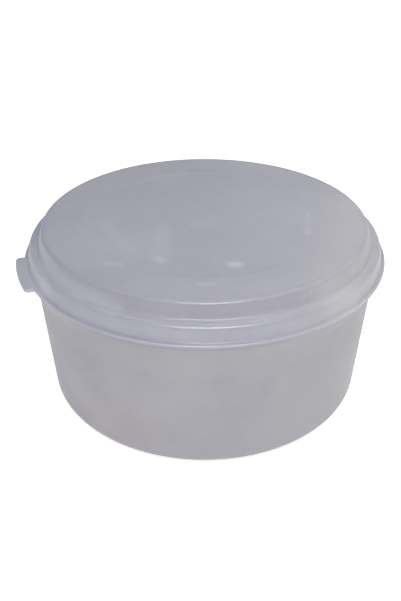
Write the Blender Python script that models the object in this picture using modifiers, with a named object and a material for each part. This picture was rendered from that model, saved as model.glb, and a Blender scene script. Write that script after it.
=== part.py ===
"""Round food container in translucent plastic: a tapered tub and a press-fit lid with a pull tab.

Metres, +Z up. The origin is the centre of the tub's flat base, and -X points to the lid's tab.
Both mouldings are turned about Z, and the lid moves up along Z when it is taken off.
"""

import math

import bmesh
import bpy
from mathutils import Vector

# The tub
TUB_HEIGHT = 0.0544
# Outer radius of the upright neck, how far the neck is set in from the top of the tapered wall,
# and the wall's outer radius where its line meets the base plane
NECK_RADIUS = 0.0564
SHOULDER_STEP = 0.0005
FOOT_RADIUS = 0.0532
TUB_WALL = 0.0010
TUB_FLOOR = 0.0011
BASE_CORNER_RADIUS = 0.0056

# The bead round the rim, which the lid snaps over
RIM_BEAD_STAND = 0.0003
RIM_BEAD_HEIGHT = 0.0020

# The ring round the foot of the neck, which keeps the lid's lip from being caught by accident
STOP_RING_STAND = 0.0013
STOP_RING_THICKNESS = 0.0010
# Height of the slope that carries the ring from below
STOP_RING_TAPER = 0.0040
# From the rim down to the middle of the ring's edge
STOP_RING_DROP = 0.0063

# The lid's fit on the rim
SEAT_CLEARANCE = 0.0003
RIM_CLEARANCE = 0.0003
LIP_GAP = 0.0006

# The lid's rim: a ledge over the tub's rim, a skirt outside it and a sealing fin inside it
LID_WALL = 0.0009
SKIRT_WALL = 0.0008
SKIRT_LEAN = 0.0013
LIP_STAND = 0.00085
LIP_THICKNESS = 0.0012
FIN_THICKNESS = 0.0008
FIN_DEPTH = 0.0023
LEDGE_WIDTH = 0.0026

# The lid's raised top, and the shallow dish in it
RAISED_HEIGHT = 0.0052
RAISED_LEAN = 0.0017
DISH_RADIUS = 0.0405
DISH_DEPTH = 0.0002
DISH_SLOPE_WIDTH = 0.0024

# The pull tab on the lid's lip
TAB_REACH = 0.0028
TAB_LENGTH = 0.0225
TAB_THICKNESS = 0.0011
TAB_CORNER_RADIUS = 0.0010

# Fillets
RIM_ROUND = 0.0004
BEAD_ROUND = 0.0002
RING_ROUND = 0.0004
SLOPE_FOOT_ROUND = 0.0060
LEDGE_ROUND = 0.0014
RAISED_ROUND = 0.0011
LEDGE_FOOT_ROUND = 0.0008
LIP_ROOT_ROUND = 0.0006
LIP_ROUND = 0.0005
DISH_ROUND = 0.0030

# How finely the shapes are cut: the facets of a turn and of the tab, and how far a fillet's
# facet may lie inside its arc
SEGMENTS = 64
TAB_STEPS = 6
ARC_ERROR = 0.00006
FILLET_ROOM_SHARE = 0.48
MERGE_DISTANCE = 0.00001

# Where the lid's snap bead starts, is full and ends, from the lip's foot up to the rim's bead
SNAP_BEAD_SHARES = (0.25, 0.45, 0.65, 0.90)
# How far the tab's root reaches into the lip, as a share of the lip's stand
TAB_ROOT_SHARE = 0.5

PLASTIC_COLOUR = (0.43, 0.43, 0.47, 1.0)
PLASTIC_ROUGHNESS = 0.35


def clear_scene():
    for obj in list(bpy.data.objects):
        bpy.data.objects.remove(obj, do_unlink=True)


def new_collection(name):
    collection = bpy.data.collections.new(name)
    bpy.context.scene.collection.children.link(collection)
    return collection


def plastic(name):
    """Milky polypropylene, as the photograph shows it."""
    material = bpy.data.materials.new(name)
    material.use_nodes = True
    shader = material.node_tree.nodes["Principled BSDF"]
    shader.inputs["Base Color"].default_value = PLASTIC_COLOUR
    shader.inputs["Roughness"].default_value = PLASTIC_ROUGHNESS
    shader.inputs["Metallic"].default_value = 0.0
    return material


def rounded(corners, closed=False):
    """Points along an outline of corners (across, up, fillet radius). A fillet is limited by its sides."""
    points = []
    for index, (across, up, radius) in enumerate(corners):
        corner = Vector((across, up))
        is_end = not closed and index in (0, len(corners) - 1)
        if radius == 0 or is_end:
            points.append(corner)
            continue
        before = Vector(corners[index - 1][:2]) - corner
        after = Vector(corners[(index + 1) % len(corners)][:2]) - corner
        half_angle = before.angle(after) / 2
        reach = min(
            radius / math.tan(half_angle),
            FILLET_ROOM_SHARE * before.length,
            FILLET_ROOM_SHARE * after.length,
        )
        arc_radius = reach * math.tan(half_angle)
        middle = (before.normalized() + after.normalized()).normalized()
        centre = corner + middle * arc_radius / math.sin(half_angle)
        start = corner + before.normalized() * reach - centre
        turn = math.pi - 2 * half_angle
        if before.cross(after) > 0:
            turn = -turn
        error_share = min(ARC_ERROR / arc_radius, 1)
        steps = math.ceil(abs(turn) / (2 * math.acos(1 - error_share)))
        for step in range(steps + 1):
            angle = turn * step / steps
            spoke = Vector(
                (
                    start.x * math.cos(angle) - start.y * math.sin(angle),
                    start.x * math.sin(angle) + start.y * math.cos(angle),
                )
            )
            points.append(centre + spoke)
    return points


def turned(name, outline, material, collection):
    """A solid of revolution about Z. The outline runs down its outer side, from the axis to the axis."""
    mesh = bpy.data.meshes.new(name)
    drawing = bmesh.new()
    places = [drawing.verts.new((point.x, 0, point.y)) for point in outline]
    for first, second in zip(places, places[1:]):
        drawing.edges.new((first, second))
    drawing.to_mesh(mesh)
    drawing.free()
    mesh.materials.append(material)
    piece = bpy.data.objects.new(name, mesh)
    collection.objects.link(piece)
    screw = piece.modifiers.new("turn", "SCREW")
    screw.axis = "Z"
    screw.angle = math.tau
    screw.steps = SEGMENTS
    screw.render_steps = SEGMENTS
    screw.use_merge_vertices = True
    screw.merge_threshold = MERGE_DISTANCE
    screw.use_smooth_shade = True
    return piece


def ring_middle():
    return TUB_HEIGHT - STOP_RING_DROP


def wall_radius(height):
    """Outer radius of the tub's tapered wall, which ends at the stop ring."""
    top_radius = NECK_RADIUS + SHOULDER_STEP
    return FOOT_RADIUS + (top_radius - FOOT_RADIUS) * height / ring_middle()


def rim_outline():
    """The tub's rim, from the neck's inside over the top to the neck below the bead."""
    bead_radius = NECK_RADIUS + RIM_BEAD_STAND
    bead_foot = TUB_HEIGHT - RIM_BEAD_HEIGHT
    return [
        (NECK_RADIUS - TUB_WALL, TUB_HEIGHT, RIM_ROUND),
        (bead_radius, TUB_HEIGHT, RIM_ROUND),
        (bead_radius, bead_foot, BEAD_ROUND),
        (NECK_RADIUS, bead_foot - RIM_BEAD_STAND, BEAD_ROUND),
    ]


def make_tub(collection):
    ring_top = ring_middle() + STOP_RING_THICKNESS / 2
    ring_foot = ring_middle() - STOP_RING_THICKNESS / 2
    taper_foot = ring_foot - STOP_RING_TAPER
    ring_radius = wall_radius(ring_middle()) + STOP_RING_STAND
    outline = [
        (0, TUB_FLOOR, 0),
        (wall_radius(TUB_FLOOR) - TUB_WALL, TUB_FLOOR, BASE_CORNER_RADIUS - TUB_WALL),
        (wall_radius(ring_foot) - TUB_WALL, ring_foot, 0),
        (NECK_RADIUS - TUB_WALL, ring_top, 0),
        *rim_outline(),
        (NECK_RADIUS, ring_top, BEAD_ROUND),
        (ring_radius, ring_top, RING_ROUND),
        (ring_radius, ring_foot, RING_ROUND),
        (wall_radius(taper_foot), taper_foot, SLOPE_FOOT_ROUND),
        (FOOT_RADIUS, 0, BASE_CORNER_RADIUS),
        (0, 0, 0),
    ]
    return turned("tub", rounded(outline), plastic("tub_plastic"), collection)


def skirt_inner_radius(height):
    """The skirt's inside, which leans out from its root over the rim down to the lip."""
    root_radius = NECK_RADIUS + RIM_BEAD_STAND + RIM_CLEARANCE
    lean_share = (SEAT_CLEARANCE - height) / (SEAT_CLEARANCE - lip_foot())
    return root_radius + SKIRT_LEAN * lean_share


def lip_radius():
    return skirt_inner_radius(lip_foot()) + SKIRT_WALL + LIP_STAND


def lip_foot():
    """The lip's underside, measured like all of the lid's heights from the plane of the tub's rim."""
    return STOP_RING_THICKNESS / 2 + LIP_GAP - STOP_RING_DROP


def raised_foot_radius():
    return skirt_inner_radius(SEAT_CLEARANCE) + SKIRT_WALL - LEDGE_WIDTH


def lid_top_outline():
    """The lid's upper side, from the axis out to the lip."""
    ledge = SEAT_CLEARANCE + LID_WALL
    top = ledge + RAISED_HEIGHT
    lip_top = lip_foot() + LIP_THICKNESS
    return [
        (0, top - DISH_DEPTH, 0),
        (DISH_RADIUS - DISH_SLOPE_WIDTH, top - DISH_DEPTH, DISH_ROUND),
        (DISH_RADIUS, top, DISH_ROUND),
        (raised_foot_radius() - RAISED_LEAN, top, RAISED_ROUND),
        (raised_foot_radius(), ledge, LEDGE_FOOT_ROUND),
        (skirt_inner_radius(SEAT_CLEARANCE) + SKIRT_WALL, ledge, LEDGE_ROUND),
        (skirt_inner_radius(lip_top) + SKIRT_WALL, lip_top, LIP_ROOT_ROUND),
        (lip_radius(), lip_top, LIP_ROUND),
        (lip_radius(), lip_foot(), LIP_ROUND),
    ]


def skirt_inside_outline():
    """The skirt's inside from the lip up to the rim, with the snap bead below the rim's bead."""
    foot = lip_foot()
    room = -RIM_BEAD_HEIGHT - foot
    start, full, full_end, end = [foot + room * share for share in SNAP_BEAD_SHARES]
    bead = skirt_inner_radius(SEAT_CLEARANCE)
    return [
        (skirt_inner_radius(foot), foot, BEAD_ROUND),
        (skirt_inner_radius(start), start, 0),
        (bead, full, 0),
        (bead, full_end, 0),
        (skirt_inner_radius(end), end, 0),
        (skirt_inner_radius(SEAT_CLEARANCE), SEAT_CLEARANCE, RIM_ROUND),
    ]


def fin_outline():
    """The sealing fin, which stands inside the tub's neck. Its inner side runs on up the raised top."""
    tip = SEAT_CLEARANCE - FIN_DEPTH
    radius = NECK_RADIUS - TUB_WALL - RIM_CLEARANCE
    return [
        (radius, SEAT_CLEARANCE, BEAD_ROUND),
        (radius, tip, BEAD_ROUND),
        (radius - FIN_THICKNESS, tip, BEAD_ROUND),
    ]


def raised_inside_outline():
    """The inside of the raised top, one wall under the upper side, back to the axis."""
    ceiling = SEAT_CLEARANCE + RAISED_HEIGHT
    side_wall = LID_WALL * math.hypot(RAISED_HEIGHT, RAISED_LEAN) / RAISED_HEIGHT
    return [
        (raised_foot_radius() - side_wall, SEAT_CLEARANCE, LEDGE_FOOT_ROUND),
        (raised_foot_radius() - RAISED_LEAN - side_wall, ceiling, BEAD_ROUND),
        (DISH_RADIUS, ceiling, DISH_ROUND),
        (DISH_RADIUS - DISH_SLOPE_WIDTH, ceiling - DISH_DEPTH, DISH_ROUND),
        (0, ceiling - DISH_DEPTH, 0),
    ]


def tab_outline():
    """The pull tab seen from above: a strip of ring along the lip at -X."""
    inner = lip_radius() - LIP_STAND * TAB_ROOT_SHARE
    outer = lip_radius() + TAB_REACH
    half_angle = TAB_LENGTH / outer / 2
    corners = []
    for radius, direction, corner_round in ((outer, 1, TAB_CORNER_RADIUS), (inner, -1, 0)):
        for step in range(TAB_STEPS + 1):
            angle = math.pi + direction * half_angle * (2 * step / TAB_STEPS - 1)
            at_end = step in (0, TAB_STEPS)
            corners.append(
                (radius * math.cos(angle), radius * math.sin(angle), corner_round if at_end else 0)
            )
    return rounded(corners, closed=True)


def make_tab_shape(collection):
    """The tab's plate as a closed mesh, which the lid takes in."""
    outline = tab_outline()
    drawing = bpy.data.curves.new("tab_drawing", "CURVE")
    drawing.dimensions = "2D"
    drawing.fill_mode = "BOTH"
    drawing.extrude = TAB_THICKNESS / 2
    spline = drawing.splines.new("POLY")
    spline.points.add(len(outline) - 1)
    for place, point in zip(spline.points, outline):
        place.co = (point.x, point.y, 0, 1)
    spline.use_cyclic_u = True
    flat = bpy.data.objects.new("tab_drawing", drawing)
    flat.location.z = TUB_HEIGHT + lip_foot() + LIP_THICKNESS / 2
    collection.objects.link(flat)
    bpy.context.view_layer.update()

    graph = bpy.context.evaluated_depsgraph_get()
    mesh = bpy.data.meshes.new_from_object(flat.evaluated_get(graph))
    welding = bmesh.new()
    welding.from_mesh(mesh)
    bmesh.ops.remove_doubles(welding, verts=welding.verts, dist=MERGE_DISTANCE)
    bmesh.ops.recalc_face_normals(welding, faces=welding.faces)
    welding.to_mesh(mesh)
    welding.free()
    plate = bpy.data.objects.new("tab_plate", mesh)
    plate.matrix_world = flat.matrix_world
    collection.objects.link(plate)
    bpy.data.objects.remove(flat)
    plate.hide_render = True
    plate.display_type = "WIRE"
    return plate


def make_lid(collection, tab_plate):
    """The lid, with its origin on the axis at the rim's plane, and the tab joined to its lip."""
    outline = [
        *lid_top_outline(),
        *skirt_inside_outline(),
        *fin_outline(),
        *raised_inside_outline(),
    ]
    lid = turned("lid", rounded(outline), plastic("lid_plastic"), collection)
    lid.location.z = TUB_HEIGHT
    join = lid.modifiers.new("tab", "BOOLEAN")
    join.operation = "UNION"
    join.object = tab_plate
    return lid


def main():
    clear_scene()
    pieces = new_collection("round_food_container")
    helpers = new_collection("helpers")
    make_tub(pieces)
    make_lid(pieces, make_tab_shape(helpers))


main()
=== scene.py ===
"""Looks of the round food container: a milky tub and its press-fit lid, in a plain pale studio.

Metres, +Z up. The tub stands on z = 0 with its axis on Z, and the lid's pull tab points along -X.
Both mouldings are drawn as an outline in the XZ plane and spun about Z.
"""

import math

import bmesh
import bpy
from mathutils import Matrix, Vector


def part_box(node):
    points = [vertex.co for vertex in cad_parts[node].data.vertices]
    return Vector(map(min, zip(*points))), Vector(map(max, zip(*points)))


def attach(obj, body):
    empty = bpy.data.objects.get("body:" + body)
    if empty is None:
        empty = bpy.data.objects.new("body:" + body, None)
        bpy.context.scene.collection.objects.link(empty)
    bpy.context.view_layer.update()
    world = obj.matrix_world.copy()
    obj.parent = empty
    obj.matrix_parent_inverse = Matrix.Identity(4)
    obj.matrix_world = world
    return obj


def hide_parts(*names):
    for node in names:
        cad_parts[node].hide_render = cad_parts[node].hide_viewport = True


bl_info = {
    "name": "Round Food Container",
    "version": (1, 0, 0),
    "blender": (4, 5, 0),
    "location": "3D View > Sidebar > Container",
    "description": "Models a round food container with a press-fit lid, and a studio for it",
    "category": "Add Mesh",
}

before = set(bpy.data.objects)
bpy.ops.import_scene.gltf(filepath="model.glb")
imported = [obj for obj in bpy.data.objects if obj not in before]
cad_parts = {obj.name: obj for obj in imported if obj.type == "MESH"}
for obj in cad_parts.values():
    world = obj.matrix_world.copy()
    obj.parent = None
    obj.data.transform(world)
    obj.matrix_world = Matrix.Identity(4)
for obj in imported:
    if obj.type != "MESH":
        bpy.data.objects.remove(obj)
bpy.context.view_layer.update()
TUB_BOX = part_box("tub")
LID_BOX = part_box("lid")

# The camera's place, worked out from the photograph: its turn about the container's axis, its
# pitch, its distance along the view, and the height on the axis that it looks at
CAMERA_AZIMUTH = math.radians(-18.0)
CAMERA_PITCH = math.radians(31.254)
CAMERA_DISTANCE = 0.2873
CAMERA_AIM_HEIGHT = 0.0288
# Its lens and sensor in millimetres, and how near and how far it sees in metres
CAMERA_LENS_MM = 48.893
CAMERA_SENSOR_MM = 36.0
CAMERA_CLIP_NEAR = 0.01
CAMERA_CLIP_FAR = 50.0
# The photograph's frame, and where the container's axis stands in it
PHOTO_WIDTH_PX = 401
PHOTO_HEIGHT_PX = 601
PHOTO_AXIS_PX = 204.6

# How finely the mouldings are made: the steps of the spin, the lip's faces that the tab grows from
# on each side of -X, the steps round the tab's corners, and the longest straight run
SPIN_STEPS = 280
TAB_FACES_EACH_SIDE = 8
TAB_CORNER_STEPS = 5
RUN_LENGTH = 0.0030
# A fillet's longest chord, widest turn and fewest steps, and the share of a run it may take
FILLET_CHORD = 0.0005
FILLET_STEP_ANGLE = math.radians(14.0)
FILLET_LEAST_STEPS = 2
FILLET_ROOM_SHARE = 0.48
# Vertices closer than the first are merged, and one closer to a place than the second is picked
MERGE_DISTANCE = 0.000004
PICK_DISTANCE = 0.00002
# Edges that turn by less than this are shaded smooth
SMOOTH_ANGLE = math.radians(40.0)

# The gate's stub, as shares of the hollow's radius and depth, and the roundness of its edges
GATE_STUB_SHARE = 0.34
GATE_STUB_HEIGHT_SHARE = 0.75
GATE_ROUND_SHARE = 0.3
# Where the snap bead starts, is full and ends, from the lip's foot up to the rim's bead
SNAP_BEAD_SHARES = (0.25, 0.45, 0.65, 0.90)
# Faces whose normals point up or down by more than this are the lip's flat ones, not its edge
FLAT_NORMAL = 0.99

# Each pattern's noise, and the values of that noise between which the pattern fades in
CLOUD_NOISE = {"Detail": 3.0, "Roughness": 0.5}
MOTTLE_NOISE = {"Detail": 2.0, "Roughness": 0.6}
HAZE_FADE = {"From Min": 0.32, "From Max": 0.68}
STREAK_NOISE = {"Scale": 1.0, "Detail": 3.0, "Roughness": 0.55}
SCUFF_PATCH_NOISE = {"Detail": 2.0, "Roughness": 0.5}
SCUFF_PATCH_FADE = {"From Max": 0.75}
SCRATCH_NOISE = {"Detail": 1.0, "Roughness": 0.5}
SCRATCH_FADE = {"From Min": 0.62, "From Max": 0.74}
RIPPLE_NOISE = {"Detail": 2.0, "Roughness": 0.45}
SKIN_NOISE = {"Detail": 2.0, "Roughness": 0.6}
# The directions that the scratches run in, and how far their noise is squeezed on x, y and z, which
# draws them out along x
SCRATCH_TURNS_DEG = (12.0, 74.0, 131.0)
SCRATCH_SQUEEZE = (1.0, 14.0, 3.0)
# A place times this keeps its x and y and loses its height
LEVEL_PART = (1.0, 1.0, 0.0)

# Painted highlights and painted light on the lid, each from a start to an end (x, y, z), with its
# half width and strength: painted glints, streaks and dashes of reflection on the top, and painted
# light on patches of the skirt and on runs of the ledge
LID_PAINTED_HIGHLIGHTS = (
    ((-0.0016, -0.0328, 0.0601), (-0.0004, -0.0332, 0.0601), 0.0031, 0.42),
    ((-0.0222, -0.0220, 0.0601), (-0.0212, -0.0238, 0.0601), 0.0028, 0.28),
    ((0.0281, -0.0205, 0.0601), (0.0290, -0.0183, 0.0601), 0.0022, 0.20),
    ((0.0293, -0.0174, 0.0601), (0.0351, -0.0057, 0.0601), 0.0012, 0.15),
    ((-0.0205, -0.0190, 0.0601), (-0.0145, -0.0020, 0.0601), 0.0040, 0.09),
    ((-0.0324, 0.0080, 0.0601), (-0.0285, -0.0135, 0.0601), 0.0045, 0.07),
    ((-0.0378, -0.0210, 0.0604), (-0.0340, -0.0222, 0.0604), 0.0024, 0.17),
    ((-0.0147, -0.0411, 0.0605), (-0.0109, -0.0423, 0.0605), 0.0015, 0.20),
    ((-0.0024, -0.0028, 0.0601), (0.0010, -0.0020, 0.0601), 0.0060, 0.06),
    ((0.0239, -0.0534, 0.0553), (0.0295, -0.0505, 0.0526), 0.0100, 0.12),
    ((-0.0600, 0.0060, 0.0530), (-0.0580, -0.0145, 0.0540), 0.0100, 0.26),
    ((-0.0547, -0.0096, 0.0558), (-0.0495, -0.0252, 0.0558), 0.0042, 0.17),
    ((-0.0495, -0.0252, 0.0558), (-0.0392, -0.0392, 0.0558), 0.0042, 0.17),
)
# Painted light on the front of the lid's ledge, lightening the shade in the crease there: marks end
# to end along an arc, strongest in the middle
LEDGE_MARK_RADIUS = 0.0560
LEDGE_MARK_HEIGHT = 0.0556
LEDGE_MARK_HALF_WIDTH = 0.0016
LEDGE_MARK_FIRST_DEG = -160.0
LEDGE_MARK_STEP_DEG = 10.0
LEDGE_MARK_STRENGTHS = (0.07, 0.12, 0.18, 0.22, 0.22, 0.22, 0.18, 0.12, 0.07)
# Rings round the axis (radius, height, reach, strength) of painted light, set where the section is
# thick, which lightens the shade there: the foot of the lid's raised top, the middle of its skirt,
# and the tub's stop ring
LID_PAINTED_LIGHT_RINGS = ((0.0552, 0.0557, 0.0018, 0.06), (0.0584, 0.0528, 0.0036, 0.07))
TUB_PAINTED_LIGHT_RINGS = ((0.0566, 0.0420, 0.0080, 0.08),)
# Painted shade on the lid: round its raised top and its skirt, a short run of the top's far edge,
# and the front of the raised wall
LID_PAINTED_SHADE_RINGS = ((0.0536, 0.0606, 0.0024, 0.42), (0.0577, 0.0554, 0.0020, 0.30))
LID_PAINTED_SHADE_RUNS = (
    ((0.0078, 0.0405, 0.0605), (0.0146, 0.0385, 0.0605), 0.0012, 0.50),
    ((-0.0392, -0.0379, 0.0572), (-0.0168, -0.0518, 0.0572), 0.0045, 0.42),
    ((-0.0168, -0.0518, 0.0572), (0.0095, -0.0537, 0.0572), 0.0045, 0.42),
    ((0.0095, -0.0537, 0.0565), (0.0300, -0.0455, 0.0565), 0.0035, 0.35),
)
# Painted light on a patch low on the tub's left side
TUB_PAINTED_LIGHT_PATCHES = (((-0.0500, -0.0228, 0.0180), (-0.0445, -0.0310, 0.0110), 0.0130, 0.16),)
# Painted warm light on the lid's right side, and where the tub is pinker, low on its left side
LID_PAINTED_WARM_LIGHT = (((0.0258, -0.0486, 0.0550), (0.0548, -0.0048, 0.0550), 0.0180, 0.16),)
TUB_PINKER_PATCHES = (((-0.0458, -0.0287, 0.0111), (-0.0359, -0.0404, 0.0109), 0.0160, 0.28),)


def painted_ledge_light():
    """Painted light along the front of the lid's ledge: marks given as start, end, half width,
    strength.
    """
    turns = [
        math.radians(LEDGE_MARK_FIRST_DEG + LEDGE_MARK_STEP_DEG * step)
        for step in range(len(LEDGE_MARK_STRENGTHS) + 1)
    ]
    places = [
        (LEDGE_MARK_RADIUS * math.cos(turn), LEDGE_MARK_RADIUS * math.sin(turn), LEDGE_MARK_HEIGHT)
        for turn in turns
    ]
    return [
        (start, end, LEDGE_MARK_HALF_WIDTH, strength)
        for start, end, strength in zip(places, places[1:], LEDGE_MARK_STRENGTHS)
    ]


# How far red, green and blue light spread inside the plastic, as shares of its glow depth
GLOW_SPREAD = (1.0, 1.0, 1.0)
PLASTIC_IOR = 1.49
# Each piece's own finish: the values that its pattern groups are given, the tints laid over the
# milky one (tint, kind of mark, places), the share of the flow marks, the specular level, the
# weight of the glossy skin, and the height of the bumps in metres
TUB_FINISH = {
    "patterns": {
        "Milky Haze": {"Cloud Scale": 28.0, "Mottle Scale": 240.0, "Mottle Share": 0.25},
        "Flow Marks": {"Streaks": 7.0, "Waviness": 12.0},
        "Handling Scuffs": {"Patch Scale": 40.0, "Cover": 0.55},
        "Moulded Skin": {"Ripple Scale": 45.0},
    },
    "tinges": (
        ("painted_light", "Worn Mark", TUB_PAINTED_LIGHT_PATCHES),
        ("painted_light", "Ring Mark", TUB_PAINTED_LIGHT_RINGS),
        ("pinker", "Worn Mark", TUB_PINKER_PATCHES),
    ),
    "flow_share": 0.25,
    "specular": 0.04,
    "gloss": 0.04,
    "bump": 0.0006,
}
LID_FINISH = {
    "patterns": {
        "Milky Haze": {"Cloud Scale": 24.0, "Mottle Scale": 320.0, "Mottle Share": 0.3},
        "Flow Marks": {"Streaks": 8.0, "Waviness": 20.0},
        "Handling Scuffs": {"Patch Scale": 50.0, "Cover": 0.45},
        "Moulded Skin": {"Ripple Scale": 60.0},
    },
    "tinges": (
        ("painted_shade", "Ring Mark", LID_PAINTED_SHADE_RINGS),
        ("painted_shade", "Worn Mark", LID_PAINTED_SHADE_RUNS),
        ("painted_warm_light", "Worn Mark", LID_PAINTED_WARM_LIGHT),
        ("painted_light", "Ring Mark", LID_PAINTED_LIGHT_RINGS),
        ("painted_light", "Worn Mark", painted_ledge_light()),
        ("painted_highlight", "Worn Mark", LID_PAINTED_HIGHLIGHTS),
    ),
    "flow_share": 0.3,
    "specular": 0.20,
    "gloss": 0.16,
    "bump": 0.0006,
}

WHITE = (1.0, 1.0, 1.0)
FLOOR_ROUGHNESS = 0.9
# The studio's lamps: the setting with its power, the way to the lamp as the camera stands
# (right, away, up), its distance, its width and height, its tint, and what it shows in
LAMPS = {
    "front_softbox": ("front_power", (0.0, -0.95, 0.3), 0.9, (0.4, 0.4), (1.0, 0.99, 0.81), "colour"),
    "top_softbox": ("top_power", (0.1, -0.5, 0.85), 0.7, (0.4, 0.4), (0.96, 0.96, 1.0), "colour"),
    "right_lamp": ("right_power", (0.62, -0.05, 0.78), 0.20, (0.1, 0.1), (1.0, 0.99, 0.80), "colour"),
    "left_lamp": ("left_power", (-0.5, -0.3, 0.8), 0.5, (0.2, 0.2), (0.97, 0.97, 1.0), "colour"),
    "back_softbox": ("fill_power", (0.0, 0.98, 0.12), 0.9, (0.4, 0.2), WHITE, "colour"),
    "front_strip": ("strip_power", (0.05, -0.75, 0.65), 0.9, (0.6, 0.25), WHITE, "gloss"),
    "back_strip": ("back_power", (0.0, 0.5, 0.87), 1.2, (0.8, 0.25), WHITE, "gloss"),
}


def length(name, description, default):
    """A setting for a size in metres."""
    return bpy.props.FloatProperty(
        name=name,
        description=description,
        default=default,
        min=0.0,
        precision=5,
        unit="LENGTH",
        subtype="DISTANCE",
    )


def amount(name, description, default):
    """A setting for a share or a level, from 0 to 1."""
    return bpy.props.FloatProperty(
        name=name, description=description, default=default, min=0.0, max=1.0, subtype="FACTOR"
    )


def watts(name, description, default):
    """A setting for a lamp's power."""
    return bpy.props.FloatProperty(
        name=name, description=description, default=default, min=0.0, unit="POWER"
    )


def colour(name, description, default):
    """A setting for a colour."""
    return bpy.props.FloatVectorProperty(
        name=name,
        description=description,
        default=default,
        size=3,
        min=0.0,
        max=1.0,
        subtype="COLOR",
    )


class TubSizes(bpy.types.PropertyGroup):
    """Sizes of the tub"""

    height: length("Height", "From the base to the rim", TUB_BOX[1].z)
    neck_radius: length("Neck Radius", "Outer radius of the upright neck", 0.0564)
    shoulder_step: length("Shoulder Step", "How far the neck is set in from the wall", 0.0005)
    foot_radius: length("Foot Radius", "Where the wall's line meets the base plane", 0.0532)
    wall: length("Wall", "Thickness of the side wall", 0.0010)
    floor: length("Floor", "Thickness of the base", 0.0011)
    base_corner: length("Base Corner", "Radius round the foot of the wall", 0.0056)
    bead_stand: length("Rim Bead Stand", "How far the rim's bead stands out", 0.0003)
    bead_height: length("Rim Bead Height", "From the rim down to the bead's foot", 0.0020)
    ring_radius: length("Stop Ring Radius", "Outer radius of the ring under the lid", TUB_BOX[1].x)
    ring_thickness: length("Stop Ring Thickness", "Height of the ring's edge", 0.0010)
    ring_taper: length("Stop Ring Taper", "Height of the slope that carries the ring", 0.0040)
    ring_drop: length("Stop Ring Drop", "From the rim to the middle of the ring's edge", 0.0063)
    rim_round: length("Rim Round", "Fillet on the rim", 0.0004)
    bead_round: length("Bead Round", "Fillet beside the bead", 0.0002)
    ring_round: length("Ring Round", "Fillet on the stop ring", 0.0004)
    slope_round: length("Slope Foot Round", "Fillet at the foot of the ring's slope", 0.0060)
    gate_radius: length("Gate Radius", "Radius of the hollow round the base's gate mark", 0.0030)
    gate_depth: length("Gate Depth", "Depth of the hollow round the base's gate mark", 0.0004)


class LidSizes(bpy.types.PropertyGroup):
    """Sizes of the lid, with its heights taken from the plane of the tub's rim"""

    seat_clearance: length("Seat Clearance", "Between the rim and the lid", 0.0003)
    rim_clearance: length("Rim Clearance", "Between the neck and the lid", 0.0003)
    lip_gap: length("Lip Gap", "Between the stop ring and the lip", 0.0006)
    wall: length("Wall", "Thickness of the ledge and the top", 0.0009)
    skirt_wall: length("Skirt Wall", "Thickness of the skirt", 0.0008)
    skirt_lean: length("Skirt Lean", "How far the skirt leans out at its foot", 0.0013)
    lip_radius: length("Lip Radius", "Outer radius of the lip", LID_BOX[1].x)
    lip_thickness: length("Lip Thickness", "Height of the lip", 0.0012)
    fin_wall: length("Fin Wall", "Thickness of the sealing fin", 0.0008)
    fin_depth: length("Fin Depth", "How far the sealing fin reaches down", 0.0023)
    ledge_width: length("Ledge Width", "From the skirt to the raised top", 0.0026)
    raised_height: length("Raised Height", "From the ledge to the top ring", 0.0052)
    raised_lean: length("Raised Lean", "How far the raised wall leans in", 0.0017)
    dish_radius: length("Dish Radius", "Where the top ring ends and the dish starts", 0.0405)
    dish_depth: length("Dish Depth", "From the top ring to the dish's floor", 0.0002)
    dish_slope: length("Dish Slope", "Width of the slope down into the dish", 0.0024)
    ledge_round: length("Ledge Round", "Fillet over the skirt", 0.0014)
    raised_round: length("Raised Round", "Fillet round the top ring", 0.0011)
    foot_round: length("Foot Round", "Fillet at the foot of the raised wall", 0.0008)
    lip_round: length("Lip Round", "Fillet on the lip's edges", 0.0005)
    lip_root_round: length("Lip Root Round", "Fillet where the skirt meets the lip", 0.0006)
    dish_round: length("Dish Round", "Fillet at both ends of the dish's slope", 0.0030)
    small_round: length("Small Round", "Fillet on the fin and the inner corners", 0.0002)
    tab_radius: length("Tab Radius", "From the axis to the tab's end", -LID_BOX[0].x)
    tab_thickness: length("Tab Thickness", "Height of the tab's end", 0.0011)
    tab_corner: length("Tab Corner", "Radius of the tab's corners", 0.0010)


class PlasticLook(bpy.types.PropertyGroup):
    """Look of the milky plastic"""

    lid_clear: colour("Lid Clear Tint", "The lid where it is clearest", (0.340, 0.340, 0.423))
    lid_milky: colour("Lid Milky Tint", "The lid where it is milkiest", (0.385, 0.385, 0.460))
    tub_clear: colour("Tub Clear Tint", "The tub where it is clearest", (0.339, 0.336, 0.398))
    tub_milky: colour("Tub Milky Tint", "The tub where it is milkiest", (0.385, 0.379, 0.435))
    # Painted light: the pale tint that lightens the shade in creases, under the lip and low on the
    # tub's left
    painted_light: colour("Painted Light Tint", "Painted light, set where the wall is thick", (0.600, 0.600, 0.650))
    # Painted shade: the darker tint laid on the lid's edges and the front of its raised wall
    painted_shade: colour("Painted Shade Tint", "Painted shade on the lid's edges and raised wall", (0.270, 0.270, 0.330))
    # Painted highlights and painted light: the pale tint that the lid's glints, reflections and lit
    # patches are painted in
    painted_highlight: colour("Painted Highlight Tint", "Painted highlights, reflections and light on the lid", (0.680, 0.690, 0.780))
    # Painted warm light: the lighter, warmer tint on the lid's right side
    painted_warm_light: colour("Painted Warm Light Tint", "Painted warm light on the lid's right side", (0.570, 0.550, 0.480))
    pinker: colour("Pinker Tint", "Where the tub is pinker, low on its left side", (0.400, 0.335, 0.385))
    roughness: amount("Roughness", "Roughness of the moulded surface", 0.40)
    scuff_roughness: amount("Scuff Roughness", "Roughness where handling has dulled it", 0.50)
    gloss_roughness: amount("Gloss Roughness", "Roughness of the glossy skin", 0.22)
    glow: amount("Glow", "Share of the light that passes through the plastic", 0.80)
    glow_depth: length("Glow Depth", "How far light spreads inside the plastic", 0.0015)


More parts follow.
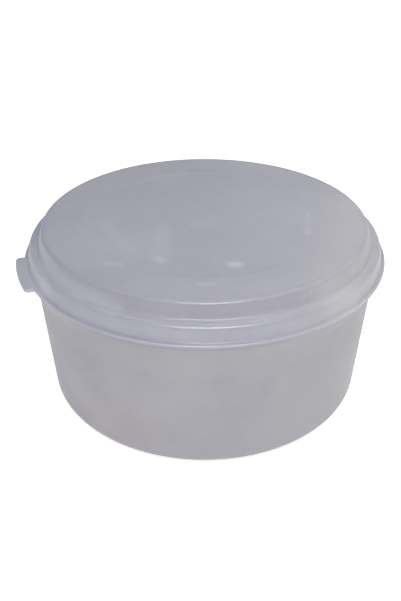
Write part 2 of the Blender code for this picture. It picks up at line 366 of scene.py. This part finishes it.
class StudioSettings(bpy.types.PropertyGroup):
    """The studio's floor and lights"""

    floor_size: length("Floor Size", "Side of the floor", 6.0)
    floor_colour: colour("Floor Colour", "The floor's colour", (0.90, 0.90, 0.90))
    floor_lift: amount("Floor Lift", "Light that the camera sees the floor give off", 0.58)
    sky_light: amount("Sky Light", "Level of the even light from all round", 0.30)
    sky_seen: amount("Sky Seen", "Level of the sky as the camera sees it", 0.85)
    front_power: watts("Front", "Power of the softbox in front", 3.5)
    top_power: watts("Top", "Power of the softbox above", 1.70)
    right_power: watts("Right", "Power of the small lamp over the right side", 0.12)
    left_power: watts("Left", "Power of the lamp over the left side", 0.32)
    fill_power: watts("Back Fill", "Power of the low softbox behind", 1.8)
    strip_power: watts("Gloss Strip", "Power of the strip in front that the gloss shows", 17.0)
    back_power: watts("Back Gloss Strip", "Power of the strip behind that the gloss shows", 8.0)


def start_outline(name, place):
    """A mesh in edit mode with one vertex, which the outline is drawn from."""
    bpy.ops.object.select_all(action="DESELECT")
    bpy.ops.mesh.primitive_plane_add(size=RUN_LENGTH, location=place)
    piece = bpy.context.object
    piece.name = name
    piece.data.name = name
    bpy.ops.object.transform_apply(location=True, rotation=False, scale=False)
    bpy.ops.object.mode_set(mode="EDIT")
    bpy.ops.mesh.select_mode(type="VERT")
    bpy.ops.mesh.merge(type="CENTER")
    return piece


def corner_place(corner):
    """The place in the XZ plane of a corner (radius, height, rounding)."""
    return Vector((corner[0], 0, corner[1]))


def pick_vertex(piece, place):
    """Selects the one vertex at a place."""
    drawing = bmesh.from_edit_mesh(piece.data)
    found = [vertex for vertex in drawing.verts if (vertex.co - place).length < PICK_DISTANCE]
    if len(found) != 1:
        raise RuntimeError(f"{piece.name} has {len(found)} vertices at {place}")
    for vertex in drawing.verts:
        vertex.select_set(vertex == found[0])
    drawing.select_flush_mode()
    bmesh.update_edit_mesh(piece.data)


def fillet(piece, before, corner, after):
    """Rounds one corner of the outline. The fillet is limited by the runs beside it."""
    rounding = corner[2]
    place = corner_place(corner)
    inward = corner_place(before) - place
    outward = corner_place(after) - place
    half_angle = inward.angle(outward) / 2
    reach = min(
        rounding / math.tan(half_angle),
        FILLET_ROOM_SHARE * inward.length,
        FILLET_ROOM_SHARE * outward.length,
    )
    turn = math.pi - 2 * half_angle
    arc_length = reach * math.tan(half_angle) * turn
    steps = max(
        round(turn / FILLET_STEP_ANGLE), round(arc_length / FILLET_CHORD), FILLET_LEAST_STEPS
    )
    pick_vertex(piece, place)
    bpy.ops.mesh.bevel(offset=reach, segments=steps, affect="VERTICES", clamp_overlap=False)


def divide_runs(piece):
    """Cuts the outline's long straight runs, so that the finished faces stay even."""
    drawing = bmesh.from_edit_mesh(piece.data)
    runs = {math.ceil(edge.calc_length() / RUN_LENGTH) for edge in drawing.edges}
    for pieces_wanted in sorted(runs - {1}):
        drawing = bmesh.from_edit_mesh(piece.data)
        bpy.ops.mesh.select_all(action="DESELECT")
        for edge in drawing.edges:
            if math.ceil(edge.calc_length() / RUN_LENGTH) == pieces_wanted:
                edge.select_set(True)
        bmesh.update_edit_mesh(piece.data)
        bpy.ops.mesh.subdivide(number_cuts=pieces_wanted - 1)


def spin_outline(name, corners):
    """Draws an outline of corners (radius, height, rounding), rounds it and spins it, all in edit
    mode."""
    piece = start_outline(name, corner_place(corners[0]))
    for first, second in zip(corners, corners[1:]):
        step = corner_place(second) - corner_place(first)
        bpy.ops.mesh.extrude_vertices_move(TRANSFORM_OT_translate={"value": step})
    for before, corner, after in zip(corners, corners[1:], corners[2:]):
        if corner[2] > 0:
            fillet(piece, before, corner, after)
    divide_runs(piece)
    bpy.ops.mesh.select_all(action="SELECT")
    bpy.ops.mesh.spin(steps=SPIN_STEPS, angle=math.tau, center=(0, 0, 0), axis=(0, 0, 1))
    bpy.ops.mesh.select_all(action="SELECT")
    bpy.ops.mesh.remove_doubles(threshold=MERGE_DISTANCE)
    bpy.ops.mesh.normals_make_consistent(inside=False)
    return piece


def finish_moulding(piece, material, node, body):
    """Smooths a moulding's faces, gives it its plastic and puts it in its CAD node's place."""
    bpy.ops.object.mode_set(mode="OBJECT")
    bpy.ops.object.shade_smooth_by_angle(angle=SMOOTH_ANGLE)
    evening = piece.modifiers.new("even_shading", "WEIGHTED_NORMAL")
    evening.keep_sharp = True
    bpy.ops.object.modifier_apply(modifier=evening.name)
    piece.data.materials.append(material)
    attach(piece, body)
    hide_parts(node)


def tub_outline(tub):
    """The tub in section: from the middle of its floor up the inside, over the rim, down the
    outside, and in along the base to the gate mark."""
    ring_middle = tub.height - tub.ring_drop
    ring_top = ring_middle + tub.ring_thickness / 2
    ring_foot = ring_middle - tub.ring_thickness / 2
    taper_foot = ring_foot - tub.ring_taper
    bead_radius = tub.neck_radius + tub.bead_stand
    bead_foot = tub.height - tub.bead_height
    top_radius = tub.neck_radius + tub.shoulder_step

    def wall_radius(height):
        return tub.foot_radius + (top_radius - tub.foot_radius) * height / ring_middle

    return [
        (0, tub.floor, 0),
        (wall_radius(tub.floor) - tub.wall, tub.floor, tub.base_corner - tub.wall),
        (wall_radius(ring_foot) - tub.wall, ring_foot, 0),
        (tub.neck_radius - tub.wall, ring_top, 0),
        (tub.neck_radius - tub.wall, tub.height, tub.rim_round),
        (bead_radius, tub.height, tub.rim_round),
        (bead_radius, bead_foot, tub.bead_round),
        (tub.neck_radius, bead_foot - tub.bead_stand, tub.bead_round),
        (tub.neck_radius, ring_top, tub.bead_round),
        (tub.ring_radius, ring_top, tub.ring_round),
        (tub.ring_radius, ring_foot, tub.ring_round),
        (wall_radius(taper_foot), taper_foot, tub.slope_round),
        (tub.foot_radius, 0, tub.base_corner),
        *gate_mark(tub.gate_radius, tub.gate_depth),
    ]


def gate_mark(radius, depth):
    """The shallow hollow in the base and the small stub that the moulding gate leaves in it."""
    stub_radius = radius * GATE_STUB_SHARE
    stub_height = depth * (1 - GATE_STUB_HEIGHT_SHARE)
    return [
        (radius, 0, radius * GATE_ROUND_SHARE),
        (radius - depth, depth, depth),
        (stub_radius, depth, depth * GATE_ROUND_SHARE),
        (stub_radius, stub_height, depth * GATE_ROUND_SHARE),
        (0, stub_height, 0),
    ]


def lip_foot(lid, tub):
    """The height of the lip's foot, from the plane of the tub's rim."""
    return tub.ring_thickness / 2 + lid.lip_gap - tub.ring_drop


def skirt_inner_radius(lid, tub, height):
    """The skirt's inside, which leans out from its root over the rim down to the lip."""
    root_radius = tub.neck_radius + tub.bead_stand + lid.rim_clearance
    share = (lid.seat_clearance - height) / (lid.seat_clearance - lip_foot(lid, tub))
    return root_radius + lid.skirt_lean * share


def lid_outline(lid, tub):
    """The lid in section, with heights from the rim's plane: from the middle of the top out to the
    lip, back up inside the skirt, round the fin and along the underside."""
    foot = lip_foot(lid, tub)
    lip_top = foot + lid.lip_thickness
    seat = lid.seat_clearance
    ledge = seat + lid.wall
    top = ledge + lid.raised_height
    ceiling = seat + lid.raised_height
    skirt_root = skirt_inner_radius(lid, tub, seat)
    raised_foot = skirt_root + lid.skirt_wall - lid.ledge_width
    side_wall = lid.wall * math.hypot(lid.raised_height, lid.raised_lean) / lid.raised_height
    fin_radius = tub.neck_radius - tub.wall - lid.rim_clearance
    fin_tip = seat - lid.fin_depth
    dish_foot = lid.dish_radius - lid.dish_slope
    bead_room = -tub.bead_height - foot
    start, full, full_end, end = [foot + bead_room * share for share in SNAP_BEAD_SHARES]
    upper_side = [
        (0, top - lid.dish_depth, 0),
        (dish_foot, top - lid.dish_depth, lid.dish_round),
        (lid.dish_radius, top, lid.dish_round),
        (raised_foot - lid.raised_lean, top, lid.raised_round),
        (raised_foot, ledge, lid.foot_round),
        (skirt_root + lid.skirt_wall, ledge, lid.ledge_round),
        (skirt_inner_radius(lid, tub, lip_top) + lid.skirt_wall, lip_top, lid.lip_root_round),
        (lid.lip_radius, lip_top, lid.lip_round),
        (lid.lip_radius, foot, lid.lip_round),
    ]
    skirt_inside = [
        (skirt_inner_radius(lid, tub, foot), foot, lid.small_round),
        (skirt_inner_radius(lid, tub, start), start, 0),
        (skirt_root, full, 0),
        (skirt_root, full_end, 0),
        (skirt_inner_radius(lid, tub, end), end, 0),
        (skirt_root, seat, lid.lip_round),
    ]
    fin = [
        (fin_radius, seat, lid.small_round),
        (fin_radius, fin_tip, lid.small_round),
        (fin_radius - lid.fin_wall, fin_tip, lid.small_round),
    ]
    underside = [
        (raised_foot - side_wall, seat, lid.foot_round),
        (raised_foot - lid.raised_lean - side_wall, ceiling, lid.small_round),
        (lid.dish_radius, ceiling, lid.dish_round),
        (dish_foot, ceiling - lid.dish_depth, lid.dish_round),
        (0, ceiling - lid.dish_depth, 0),
    ]
    return upper_side + skirt_inside + fin + underside


def tab_angle(place):
    """How far round from -X a place lies, in radians."""
    return abs(math.atan2(place.y, -place.x))


def draw_out_tab(piece, lid, lip_middle):
    """Extrudes the lip's outer faces at -X into the pull tab and rounds the tab's corners."""
    half_angle = TAB_FACES_EACH_SIDE * math.tau / SPIN_STEPS
    band_foot = lip_middle - lid.lip_thickness / 2 - PICK_DISTANCE
    band_top = lip_middle + lid.lip_thickness / 2 + PICK_DISTANCE
    bpy.ops.mesh.select_mode(type="FACE")
    bpy.ops.mesh.select_all(action="DESELECT")
    drawing = bmesh.from_edit_mesh(piece.data)
    for face in drawing.faces:
        middle = face.calc_center_median()
        at_lip = math.hypot(middle.x, middle.y) > lid.lip_radius - lid.lip_round
        at_lip = at_lip and band_foot < middle.z < band_top
        if at_lip and abs(face.normal.z) < FLAT_NORMAL and tab_angle(middle) < half_angle:
            face.select_set(True)
    bmesh.update_edit_mesh(piece.data)
    bpy.ops.mesh.extrude_region_move()
    stretch = lid.tab_radius / lid.lip_radius
    thicken = lid.tab_thickness / lid.lip_thickness
    bpy.ops.transform.resize(value=(stretch, stretch, thicken), center_override=(0, 0, lip_middle))

    bpy.ops.mesh.select_mode(type="EDGE")
    bpy.ops.mesh.select_all(action="DESELECT")
    drawing = bmesh.from_edit_mesh(piece.data)
    angle_slack = half_angle / SPIN_STEPS
    for edge in drawing.edges:
        at_corner = all(
            math.hypot(vertex.co.x, vertex.co.y) > lid.lip_radius + PICK_DISTANCE
            and abs(tab_angle(vertex.co) - half_angle) < angle_slack
            for vertex in edge.verts
        )
        if at_corner:
            edge.select_set(True)
    bmesh.update_edit_mesh(piece.data)
    bpy.ops.mesh.bevel(offset=lid.tab_corner, segments=TAB_CORNER_STEPS, affect="EDGES")


def principled(name):
    """A new material's node tree and its shader."""
    material = bpy.data.materials.new(name)
    material.use_nodes = True
    tree = material.node_tree
    return material, tree, tree.nodes["Principled BSDF"]


def add_node(tree, kind, values=None, **settings):
    """A node with its settings, and with plain values in the inputs named in values."""
    node = tree.nodes.new(kind)
    for setting, value in settings.items():
        setattr(node, setting, value)
    for socket, value in (values or {}).items():
        node.inputs[socket].default_value = value
    return node


def add_fade(tree, limits):
    """A node that fades smoothly between its limits."""
    return add_node(tree, "ShaderNodeMapRange", limits, interpolation_type="SMOOTHSTEP")


def strongest(tree, masks):
    """The strongest of several masks at each place."""
    so_far = masks[0]
    for mask in masks[1:]:
        both = add_node(tree, "ShaderNodeMath", operation="MAXIMUM")
        tree.links.new(so_far, both.inputs[0])
        tree.links.new(mask, both.inputs[1])
        so_far = both.outputs["Value"]
    return so_far


def opaque(rgb):
    """A colour with its full alpha, as a colour socket takes it."""
    return (*rgb, 1.0)


def new_group(name, inputs, output):
    """An empty shader node group, and its input and output nodes. Its inputs are named with their
    defaults, which are numbers or places, and it puts out one number."""
    group = bpy.data.node_groups.new(name, "ShaderNodeTree")
    for socket_name, default in inputs.items():
        kind = "NodeSocketVector" if isinstance(default, tuple) else "NodeSocketFloat"
        socket = group.interface.new_socket(socket_name, in_out="INPUT", socket_type=kind)
        socket.default_value = default
    group.interface.new_socket(output, in_out="OUTPUT", socket_type="NodeSocketFloat")
    return group, group.nodes.new("NodeGroupInput"), group.nodes.new("NodeGroupOutput")


def milky_haze_group():
    """Where the plastic is clearer or milkier: wide clouds with a finer mottle in them."""
    group, given, result = new_group(
        "Milky Haze", {"Cloud Scale": 30.0, "Mottle Scale": 300.0, "Mottle Share": 0.35}, "Haze"
    )
    place = add_node(group, "ShaderNodeTexCoord")
    cloud = add_node(group, "ShaderNodeTexNoise", CLOUD_NOISE)
    mottle = add_node(group, "ShaderNodeTexNoise", MOTTLE_NOISE)
    blend = add_node(group, "ShaderNodeMix")
    spread = add_fade(group, HAZE_FADE)
    link = group.links.new
    link(place.outputs["Object"], cloud.inputs["Vector"])
    link(place.outputs["Object"], mottle.inputs["Vector"])
    link(given.outputs["Cloud Scale"], cloud.inputs["Scale"])
    link(given.outputs["Mottle Scale"], mottle.inputs["Scale"])
    link(given.outputs["Mottle Share"], blend.inputs["Factor"])
    link(cloud.outputs["Fac"], blend.inputs["A"])
    link(mottle.outputs["Fac"], blend.inputs["B"])
    link(blend.outputs["Result"], spread.inputs["Value"])
    link(spread.outputs["Result"], result.inputs["Haze"])
    return group


def flow_marks_group():
    """Faint streaks that run out from the gate on the axis, as the melt flowed."""
    group, given, result = new_group("Flow Marks", {"Streaks": 9.0, "Waviness": 25.0}, "Flow")
    place = add_node(group, "ShaderNodeTexCoord")
    level = add_node(group, "ShaderNodeVectorMath", {1: LEVEL_PART}, operation="MULTIPLY")
    heading = add_node(group, "ShaderNodeVectorMath", operation="NORMALIZE")
    spread = add_node(group, "ShaderNodeVectorMath", operation="SCALE")
    drift = add_node(group, "ShaderNodeVectorMath", operation="SCALE")
    total = add_node(group, "ShaderNodeVectorMath", operation="ADD")
    streaks = add_node(group, "ShaderNodeTexNoise", STREAK_NOISE)
    link = group.links.new
    link(place.outputs["Object"], level.inputs[0])
    link(level.outputs["Vector"], heading.inputs[0])
    link(heading.outputs["Vector"], spread.inputs[0])
    link(given.outputs["Streaks"], spread.inputs["Scale"])
    link(place.outputs["Object"], drift.inputs[0])
    link(given.outputs["Waviness"], drift.inputs["Scale"])
    link(spread.outputs["Vector"], total.inputs[0])
    link(drift.outputs["Vector"], total.inputs[1])
    link(total.outputs["Vector"], streaks.inputs["Vector"])
    link(streaks.outputs["Fac"], result.inputs["Flow"])
    return group


def handling_scuffs_group():
    """Fine rub marks from washing and stacking, in patches."""
    group, given, result = new_group(
        "Handling Scuffs", {"Patch Scale": 45.0, "Scratch Scale": 260.0, "Cover": 0.5}, "Scuffs"
    )
    place = add_node(group, "ShaderNodeTexCoord")
    patches = add_node(group, "ShaderNodeTexNoise", SCUFF_PATCH_NOISE)
    patch_edge = add_fade(group, SCUFF_PATCH_FADE)
    link = group.links.new
    link(place.outputs["Object"], patches.inputs["Vector"])
    link(given.outputs["Patch Scale"], patches.inputs["Scale"])
    link(given.outputs["Cover"], patch_edge.inputs["From Min"])
    link(patches.outputs["Fac"], patch_edge.inputs["Value"])
    strokes = []
    for turn_deg in SCRATCH_TURNS_DEG:
        turned = add_node(
            group,
            "ShaderNodeMapping",
            {"Rotation": (0, 0, math.radians(turn_deg)), "Scale": SCRATCH_SQUEEZE},
        )
        scratch = add_node(group, "ShaderNodeTexNoise", SCRATCH_NOISE)
        stroke = add_fade(group, SCRATCH_FADE)
        link(place.outputs["Object"], turned.inputs["Vector"])
        link(turned.outputs["Vector"], scratch.inputs["Vector"])
        link(given.outputs["Scratch Scale"], scratch.inputs["Scale"])
        link(scratch.outputs["Fac"], stroke.inputs["Value"])
        strokes.append(stroke.outputs["Result"])
    within = add_node(group, "ShaderNodeMath", operation="MULTIPLY")
    link(strongest(group, strokes), within.inputs[0])
    link(patch_edge.outputs["Result"], within.inputs[1])
    link(within.outputs["Value"], result.inputs["Scuffs"])
    return group


def moulded_skin_group():
    """The slight unevenness of a thin moulding, and its fine moulded skin, as a height."""
    group, given, result = new_group(
        "Moulded Skin", {"Ripple Scale": 55.0, "Skin Scale": 900.0, "Skin Share": 0.08}, "Height"
    )
    place = add_node(group, "ShaderNodeTexCoord")
    ripple = add_node(group, "ShaderNodeTexNoise", RIPPLE_NOISE)
    skin = add_node(group, "ShaderNodeTexNoise", SKIN_NOISE)
    blend = add_node(group, "ShaderNodeMix")
    link = group.links.new
    link(place.outputs["Object"], ripple.inputs["Vector"])
    link(place.outputs["Object"], skin.inputs["Vector"])
    link(given.outputs["Ripple Scale"], ripple.inputs["Scale"])
    link(given.outputs["Skin Scale"], skin.inputs["Scale"])
    link(given.outputs["Skin Share"], blend.inputs["Factor"])
    link(ripple.outputs["Fac"], blend.inputs["A"])
    link(skin.outputs["Fac"], blend.inputs["B"])
    link(blend.outputs["Result"], result.inputs["Height"])
    return group


def run_mark_group():
    """A soft-edged mask along a straight run, for painted light, shade and highlights, and a pinker
    patch.
    """
    group, given, result = new_group(
        "Worn Mark",
        {"Start": (0.0, 0.0, 0.0), "End": (0.001, 0.0, 0.0), "Half Width": 0.001, "Strength": 1.0},
        "Mark",
    )
    place = add_node(group, "ShaderNodeTexCoord")
    from_start = add_node(group, "ShaderNodeVectorMath", operation="SUBTRACT")
    run = add_node(group, "ShaderNodeVectorMath", operation="SUBTRACT")
    along = add_node(group, "ShaderNodeVectorMath", operation="DOT_PRODUCT")
    run_squared = add_node(group, "ShaderNodeVectorMath", operation="DOT_PRODUCT")
    share = add_node(group, "ShaderNodeMath", operation="DIVIDE", use_clamp=True)
    nearest = add_node(group, "ShaderNodeVectorMath", operation="SCALE")
    offset = add_node(group, "ShaderNodeVectorMath", operation="DISTANCE")
    fade = add_fade(group, {"To Max": 0.0})
    link = group.links.new
    link(place.outputs["Object"], from_start.inputs[0])
    link(given.outputs["Start"], from_start.inputs[1])
    link(given.outputs["End"], run.inputs[0])
    link(given.outputs["Start"], run.inputs[1])
    link(from_start.outputs["Vector"], along.inputs[0])
    link(run.outputs["Vector"], along.inputs[1])
    link(run.outputs["Vector"], run_squared.inputs[0])
    link(run.outputs["Vector"], run_squared.inputs[1])
    link(along.outputs["Value"], share.inputs[0])
    link(run_squared.outputs["Value"], share.inputs[1])
    link(run.outputs["Vector"], nearest.inputs[0])
    link(share.outputs["Value"], nearest.inputs["Scale"])
    link(from_start.outputs["Vector"], offset.inputs[0])
    link(nearest.outputs["Vector"], offset.inputs[1])
    link(offset.outputs["Value"], fade.inputs["Value"])
    link(given.outputs["Half Width"], fade.inputs["From Max"])
    link(given.outputs["Strength"], fade.inputs["To Min"])
    link(fade.outputs["Result"], result.inputs["Mark"])
    return group


def ring_mark_group():
    """A soft-edged ring round the axis, for painted light and painted shade."""
    group, given, result = new_group(
        "Ring Mark",
        {"Ring Radius": 0.05, "Ring Height": 0.05, "Reach": 0.003, "Strength": 0.3},
        "Mark",
    )
    place = add_node(group, "ShaderNodeTexCoord")
    level = add_node(group, "ShaderNodeVectorMath", {1: LEVEL_PART}, operation="MULTIPLY")
    radius = add_node(group, "ShaderNodeVectorMath", operation="LENGTH")
    height = add_node(group, "ShaderNodeSeparateXYZ")
    section = add_node(group, "ShaderNodeCombineXYZ")
    ring = add_node(group, "ShaderNodeCombineXYZ")
    offset = add_node(group, "ShaderNodeVectorMath", operation="DISTANCE")
    fade = add_fade(group, {"To Max": 0.0})
    link = group.links.new
    link(place.outputs["Object"], level.inputs[0])
    link(level.outputs["Vector"], radius.inputs[0])
    link(place.outputs["Object"], height.inputs["Vector"])
    link(radius.outputs["Value"], section.inputs["X"])
    link(height.outputs["Z"], section.inputs["Z"])
    link(given.outputs["Ring Radius"], ring.inputs["X"])
    link(given.outputs["Ring Height"], ring.inputs["Z"])
    link(section.outputs["Vector"], offset.inputs[0])
    link(ring.outputs["Vector"], offset.inputs[1])
    link(offset.outputs["Value"], fade.inputs["Value"])
    link(given.outputs["Reach"], fade.inputs["From Max"])
    link(given.outputs["Strength"], fade.inputs["To Min"])
    link(fade.outputs["Result"], result.inputs["Mark"])
    return group


GROUP_BUILDERS = {
    "Milky Haze": milky_haze_group,
    "Flow Marks": flow_marks_group,
    "Handling Scuffs": handling_scuffs_group,
    "Moulded Skin": moulded_skin_group,
    "Worn Mark": run_mark_group,
    "Ring Mark": ring_mark_group,
}


def place_group(tree, name, values=None):
    """Places a node group in a material. It is built the first time, and then shared."""
    group = bpy.data.node_groups.get(name) or GROUP_BUILDERS[name]()
    return add_node(tree, "ShaderNodeGroup", values, node_tree=group)


def tinge(tree, colour_so_far, tint, mark_name, places):
    """Mixes the colour so far towards a tint at each place that a mark group is given."""
    marks = []
    for values in places:
        mark = place_group(tree, mark_name)
        for socket, value in zip(mark.inputs, values):
            socket.default_value = value
        marks.append(mark.outputs["Mark"])
    mixed = add_node(tree, "ShaderNodeMix", {"B": opaque(tint)}, data_type="RGBA")
    tree.links.new(strongest(tree, marks), mixed.inputs["Factor"])
    tree.links.new(colour_so_far, mixed.inputs["A"])
    return mixed.outputs["Result"]


def milky_plastic(name, clear, milky, look, finish):
    """Milky polypropylene with a soft gloss, between its clear and its milky tint."""
    material, tree, shader = principled(name)
    link = tree.links.new
    shader.inputs["IOR"].default_value = PLASTIC_IOR
    shader.inputs["Specular IOR Level"].default_value = finish["specular"]
    shader.inputs["Coat Roughness"].default_value = look.gloss_roughness
    shader.inputs["Subsurface Weight"].default_value = look.glow
    shader.inputs["Subsurface Radius"].default_value = GLOW_SPREAD
    shader.inputs["Subsurface Scale"].default_value = look.glow_depth
    placed = {
        group_name: place_group(tree, group_name, values)
        for group_name, values in finish["patterns"].items()
    }

    streaked = add_node(tree, "ShaderNodeMix", {"Factor": finish["flow_share"]})
    link(placed["Milky Haze"].outputs["Haze"], streaked.inputs["A"])
    link(placed["Flow Marks"].outputs["Flow"], streaked.inputs["B"])
    tint = add_node(
        tree, "ShaderNodeMix", {"A": opaque(clear), "B": opaque(milky)}, data_type="RGBA"
    )
    link(streaked.outputs["Result"], tint.inputs["Factor"])
    colour_so_far = tint.outputs["Result"]
    # The tints laid over here are painted light, painted shade and painted highlights, and a pinker
    # patch
    for tint_name, mark_name, places in finish["tinges"]:
        colour_so_far = tinge(tree, colour_so_far, getattr(look, tint_name), mark_name, places)
    link(colour_so_far, shader.inputs["Base Color"])

    dulled = add_node(
        tree, "ShaderNodeMapRange", {"To Min": look.roughness, "To Max": look.scuff_roughness}
    )
    link(placed["Handling Scuffs"].outputs["Scuffs"], dulled.inputs["Value"])
    link(dulled.outputs["Result"], shader.inputs["Roughness"])
    worn = add_node(tree, "ShaderNodeMapRange", {"To Min": finish["gloss"], "To Max": 0.0})
    link(placed["Handling Scuffs"].outputs["Scuffs"], worn.inputs["Value"])
    link(worn.outputs["Result"], shader.inputs["Coat Weight"])

    bump = add_node(tree, "ShaderNodeBump", {"Strength": 1.0, "Distance": finish["bump"]})
    link(placed["Moulded Skin"].outputs["Height"], bump.inputs["Height"])
    link(bump.outputs["Normal"], shader.inputs["Normal"])
    return material


class CONTAINER_OT_make_tub(bpy.types.Operator):
    """Spin the tub from its outline and give it its milky plastic"""

    bl_idname = "container.make_tub"
    bl_label = "Make Tub"

    def execute(self, context):
        settings = context.scene.food_container
        look = settings.look
        piece = spin_outline("moulded_tub", tub_outline(settings.tub))
        material = milky_plastic(
            "milky_tub_plastic", look.tub_clear, look.tub_milky, look, TUB_FINISH
        )
        finish_moulding(piece, material, "tub", "tub_body")
        return {"FINISHED"}


class CONTAINER_OT_make_lid(bpy.types.Operator):
    """Spin the lid from its outline, draw out its pull tab and give it its milky plastic"""

    bl_idname = "container.make_lid"
    bl_label = "Make Lid"

    def execute(self, context):
        settings = context.scene.food_container
        look, lid, tub = settings.look, settings.lid, settings.tub
        corners = [
            (radius, tub.height + height, rounding)
            for radius, height, rounding in lid_outline(lid, tub)
        ]
        piece = spin_outline("moulded_lid", corners)
        draw_out_tab(piece, lid, tub.height + lip_foot(lid, tub) + lid.lip_thickness / 2)
        material = milky_plastic(
            "milky_lid_plastic", look.lid_clear, look.lid_milky, look, LID_FINISH
        )
        finish_moulding(piece, material, "lid", "lid_body")
        return {"FINISHED"}


def camera_frame_direction(direction):
    """Turns a direction given as the camera stands (right, away, up) into the scene's own."""
    x, y, z = direction
    cosine = math.cos(CAMERA_AZIMUTH)
    sine = math.sin(CAMERA_AZIMUTH)
    return Vector((x * cosine - y * sine, x * sine + y * cosine, z))


def aim(obj, target):
    """Turns a lamp or camera so that it looks at a point."""
    obj.rotation_euler = (Vector(target) - obj.location).to_track_quat("-Z", "Y").to_euler()


def add_lamp(name, power, direction, distance, size, tint, shows_in):
    """A soft rectangular lamp that looks at the container, and lights its colour or its gloss."""
    data = bpy.data.lights.new(name, "AREA")
    data.shape = "RECTANGLE"
    data.size, data.size_y = size
    data.energy = power
    data.color = tint
    lamp = bpy.data.objects.new(name, data)
    lamp.visible_glossy = shows_in == "gloss"
    lamp.visible_diffuse = shows_in == "colour"
    bpy.context.scene.collection.objects.link(lamp)
    middle = Vector((0, 0, CAMERA_AIM_HEIGHT))
    lamp.location = middle + camera_frame_direction(direction).normalized() * distance
    aim(lamp, middle)


def add_camera():
    """The camera, where the photograph was taken from."""
    data = bpy.data.cameras.new("photo_camera")
    data.sensor_fit = "AUTO"
    data.sensor_width = CAMERA_SENSOR_MM
    data.lens = CAMERA_LENS_MM
    data.shift_x = (PHOTO_WIDTH_PX / 2 - PHOTO_AXIS_PX) / PHOTO_HEIGHT_PX
    data.clip_start = CAMERA_CLIP_NEAR
    data.clip_end = CAMERA_CLIP_FAR
    camera = bpy.data.objects.new("photo_camera", data)
    bpy.context.scene.collection.objects.link(camera)
    back = Vector((0, -math.cos(CAMERA_PITCH), math.sin(CAMERA_PITCH)))
    middle = Vector((0, 0, CAMERA_AIM_HEIGHT))
    camera.location = middle + camera_frame_direction(back) * CAMERA_DISTANCE
    aim(camera, middle)
    bpy.context.scene.camera = camera


def floor_material(studio):
    """Pale floor that takes the container's shadow, and that the camera sees as near white."""
    material, tree, shader = principled("studio_floor")
    shader.inputs["Base Color"].default_value = opaque(studio.floor_colour)
    shader.inputs["Roughness"].default_value = FLOOR_ROUGHNESS
    shader.inputs["Specular IOR Level"].default_value = 0.0
    shader.inputs["Emission Color"].default_value = opaque(WHITE)
    path = add_node(tree, "ShaderNodeLightPath")
    seen = strongest(tree, [path.outputs["Is Camera Ray"], path.outputs["Is Glossy Ray"]])
    lift = add_node(tree, "ShaderNodeMath", {1: studio.floor_lift}, operation="MULTIPLY")
    tree.links.new(seen, lift.inputs[0])
    tree.links.new(lift.outputs["Value"], shader.inputs["Emission Strength"])
    return material


def set_world(studio):
    """Even pale light from all round. The camera sees the sky as pale as the far floor."""
    world = bpy.data.worlds.new("studio_world")
    bpy.context.scene.world = world
    world.use_nodes = True
    tree = world.node_tree
    background = tree.nodes["Background"]
    background.inputs["Color"].default_value = opaque(WHITE)
    path = add_node(tree, "ShaderNodeLightPath")
    level = add_node(
        tree, "ShaderNodeMapRange", {"To Min": studio.sky_light, "To Max": studio.sky_seen}
    )
    tree.links.new(path.outputs["Is Camera Ray"], level.inputs["Value"])
    tree.links.new(level.outputs["Result"], background.inputs["Strength"])


class CONTAINER_OT_set_stage(bpy.types.Operator):
    """Set the floor, the lights and the camera round the container"""

    bl_idname = "container.set_stage"
    bl_label = "Set Stage"

    def execute(self, context):
        studio = context.scene.food_container.studio
        bpy.ops.object.select_all(action="DESELECT")
        bpy.ops.mesh.primitive_plane_add(size=studio.floor_size, location=(0, 0, 0))
        floor = context.object
        floor.name = "studio_floor"
        floor.data.materials.append(floor_material(studio))
        set_world(studio)
        for name, (setting, *placing) in LAMPS.items():
            add_lamp(name, getattr(studio, setting), *placing)
        add_camera()
        context.scene.view_settings.view_transform = "Standard"
        return {"FINISHED"}


class FoodContainerSettings(bpy.types.PropertyGroup):
    """All settings of the round food container"""

    tub: bpy.props.PointerProperty(type=TubSizes)
    lid: bpy.props.PointerProperty(type=LidSizes)
    look: bpy.props.PointerProperty(type=PlasticLook)
    studio: bpy.props.PointerProperty(type=StudioSettings)


class CONTAINER_PT_round_food_container(bpy.types.Panel):
    """The container's settings and operators, in the sidebar"""

    bl_label = "Round Food Container"
    bl_idname = "CONTAINER_PT_round_food_container"
    bl_space_type = "VIEW_3D"
    bl_region_type = "UI"
    bl_category = "Container"

    def draw(self, context):
        settings = context.scene.food_container
        for heading, group, operator in (
            ("Tub", settings.tub, CONTAINER_OT_make_tub),
            ("Lid", settings.lid, CONTAINER_OT_make_lid),
            ("Plastic", settings.look, None),
            ("Studio", settings.studio, CONTAINER_OT_set_stage),
        ):
            box = self.layout.box()
            box.label(text=heading)
            for setting in group.__annotations__:
                box.prop(group, setting)
            if operator:
                box.operator(operator.bl_idname)


CLASSES = (
    TubSizes,
    LidSizes,
    PlasticLook,
    StudioSettings,
    FoodContainerSettings,
    CONTAINER_OT_make_tub,
    CONTAINER_OT_make_lid,
    CONTAINER_OT_set_stage,
    CONTAINER_PT_round_food_container,
)


def register():
    """Registers the classes and puts their settings on the scene."""
    for cls in CLASSES:
        bpy.utils.register_class(cls)
    bpy.types.Scene.food_container = bpy.props.PointerProperty(type=FoodContainerSettings)


def unregister():
    """Takes the settings and the classes away again."""
    del bpy.types.Scene.food_container
    for cls in reversed(CLASSES):
        bpy.utils.unregister_class(cls)


def main():
    """Makes the stage and both pieces."""
    register()
    bpy.ops.container.set_stage()
    bpy.ops.container.make_tub()
    bpy.ops.container.make_lid()


if __name__ == "__main__":
    main()
